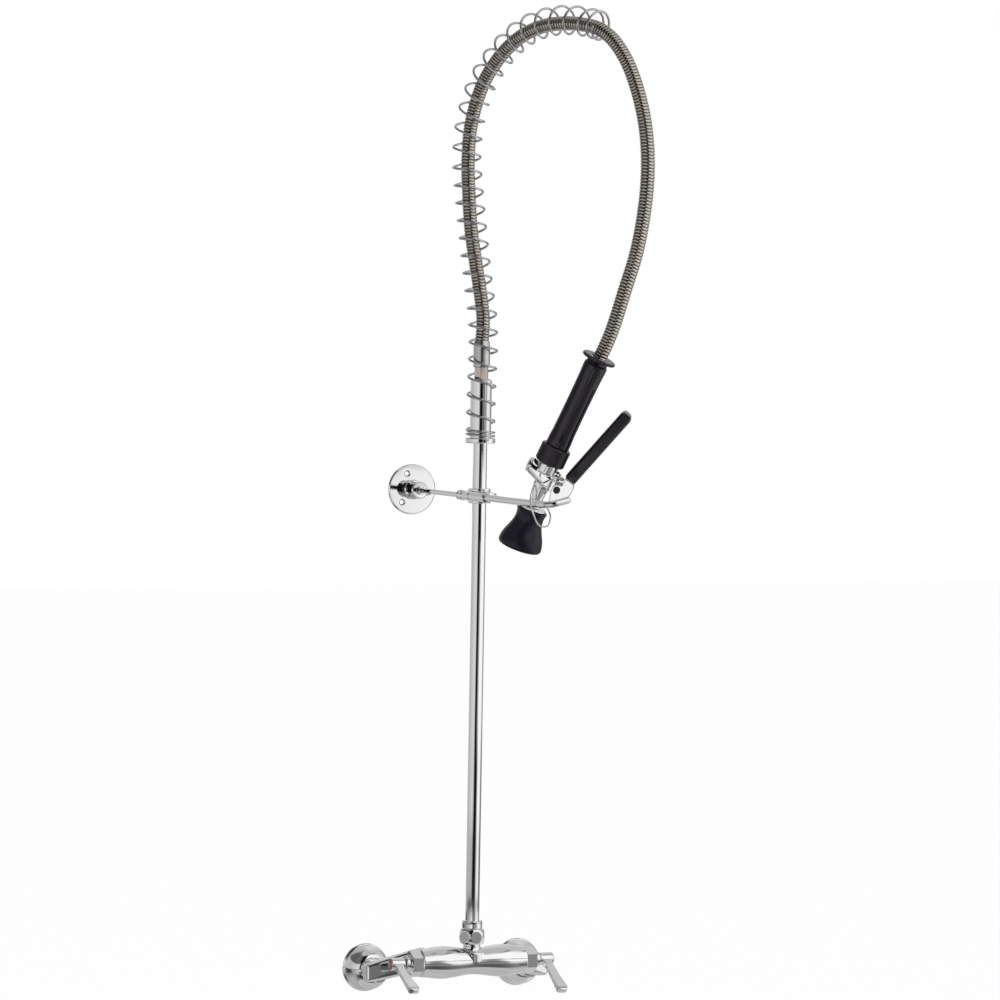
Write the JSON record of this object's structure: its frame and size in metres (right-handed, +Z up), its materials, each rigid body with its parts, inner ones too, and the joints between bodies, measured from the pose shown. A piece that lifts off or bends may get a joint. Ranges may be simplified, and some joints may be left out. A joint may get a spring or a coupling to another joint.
{
  "type": "pre rinse faucet",
  "caption": "Wall-mounted pre-rinse faucet: two-lever mixing valve, tall riser, sprung overhead hose and a squeeze spray valve hung by a wire ring on a finger hook.",
  "frame": {"origin": "midway between the two water inlets, on the plane of the wall that the bell flanges rest on", "axes": "+X to the right seen from the front, +Y into the wall, +Z up along the riser"},
  "size_m": [0.2626, 0.4471, 1.2139],
  "materials": {
    "chrome": "polished plate over brass",
    "spring_steel": "polished wire",
    "steel": "turned",
    "hose_steel": "ribbed and polished",
    "brass": "turned",
    "black_grip": "glossy",
    "black_collar": "satin",
    "rubber": "satin",
    "hose_rubber": "plain",
    "cartridge_plastic": "plain",
    "red": "moulded",
    "blue": "moulded"
  },
  "bodies": {
    "faucet": {"inlet_flanges": "chrome", "supply_arms": "chrome", "port_seals": "rubber", "faucet_body": "chrome", "hot_cartridge": "cartridge_plastic", "cold_cartridge": "cartridge_plastic", "hot_bonnet": "chrome", "cold_bonnet": "chrome", "coupling_nut": "chrome", "riser_collar": "chrome", "riser_seal": "rubber", "riser_pipe": "chrome", "clamp_body": "chrome", "clamp_cap": "chrome", "clamp_screws": "steel", "set_screws": "steel", "hook": "chrome", "spring_sleeve": "chrome", "lower_hose_nut": "brass", "lower_ferrule": "steel", "hose_barb": "brass", "hose_cover": "hose_steel", "hose_liner": "hose_rubber", "overhead_spring": "spring_steel"},
    "hot_control": {"hot_stem": "steel", "hot_handle": "chrome", "hot_index_ring": "red", "hot_handle_screw": "steel"},
    "cold_control": {"cold_stem": "steel", "cold_handle": "chrome", "cold_index_ring": "blue", "cold_handle_screw": "steel"},
    "wall_bracket": {"wall_disc": "chrome", "rod_socket": "chrome", "bracket_rod": "chrome"},
    "spray_unit": {"upper_ferrule": "steel", "upper_hose_nut": "brass", "hose_guard": "black_grip", "grip": "black_grip", "grip_tube": "steel", "grip_collar": "black_collar", "valve_body": "chrome", "valve_cap": "chrome", "seat_ring": "brass", "packing_nut": "brass", "return_spring": "spring_steel", "lever_pin": "black_collar", "neck_ring": "chrome", "spray_nozzle": "chrome", "spray_face": "steel", "spray_bumper": "rubber"},
    "spray_lever": {"squeeze_lever": "chrome", "lever_cover": "black_grip"},
    "spray_plunger": {"valve_plunger": "steel", "seat_washer": "rubber"},
    "ring": {"hanging_ring": "chrome"}
  },
  "joints": [
    {"name": "hot_handle_turn", "type": "hinge", "parent": "faucet", "child": "hot_control", "pos_m": [-0.097, -0.101, 0.0165], "axis": [-1, 0, 0], "range_deg": [0, 90]},
    {"name": "cold_handle_turn", "type": "hinge", "parent": "faucet", "child": "cold_control", "pos_m": [0.097, -0.101, 0.0165], "axis": [-1, 0, 0], "range_deg": [0, 90]},
    {"name": "wall_bracket_slide", "type": "slide", "parent": "faucet", "child": "wall_bracket", "axis": [0, -1, 0], "range_m": [0, 0.087]},
    {"name": "spray_unit_slide", "type": "slide", "parent": "faucet", "child": "spray_unit", "axis": [0, -1, 0], "range_m": [0, 0.06], "stiffness_N_per_m": 60, "deforming": ["hose_cover", "hose_liner", "overhead_spring"]},
    {"name": "spray_lever_squeeze", "type": "hinge", "parent": "spray_unit", "child": "spray_lever", "pos_m": [0.03381, -0.26381, 0.60426], "axis": [-0.4571, -0.8769, -0.1487], "range_deg": [0, 16], "stiffness_Nm_per_rad": 1.5, "springref_deg": -5.73},
    {"name": "valve_plunger_travel", "type": "slide", "parent": "spray_unit", "child": "spray_plunger", "axis": [-0.8341, 0.3645, 0.4141], "range_m": [0, 0.0036], "deforming": ["return_spring"]},
    {"name": "hanging_ring_swing", "type": "hinge", "parent": "spray_unit", "child": "ring", "pos_m": [0.011, -0.2487, 0.5852], "axis": [1, 0, 0], "range_deg": [-5, 6]}
  ],
  "couplings": [
    {"joint": "valve_plunger_travel", "follows": "spray_lever_squeeze", "m_per_rad": 0.0128}
  ]
}
